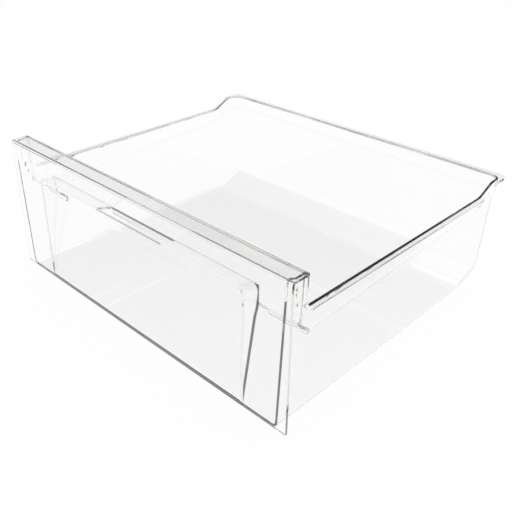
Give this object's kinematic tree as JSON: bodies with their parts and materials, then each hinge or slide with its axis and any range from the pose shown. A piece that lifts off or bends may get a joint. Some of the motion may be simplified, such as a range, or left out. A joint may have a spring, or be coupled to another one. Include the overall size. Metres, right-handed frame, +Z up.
{
  "type": "freezer drawer",
  "caption": "Clear freezer drawer: drafted tub with stepped walls and raised rear rim, closed by a front panel with a recessed pull.",
  "frame": {"origin": "centre of the overall plan at the base, where the drawer stands", "axes": "+X across the width to the right as seen from the front, +Y from the front panel to the back, +Z up"},
  "size_m": [0.4324, 0.3672, 0.158],
  "materials": {
    "clear_plastic": "clear, polished"
  },
  "bodies": {
    "root": {"tub": "clear_plastic", "front_panel": "clear_plastic"}
  },
  "joints": []
}
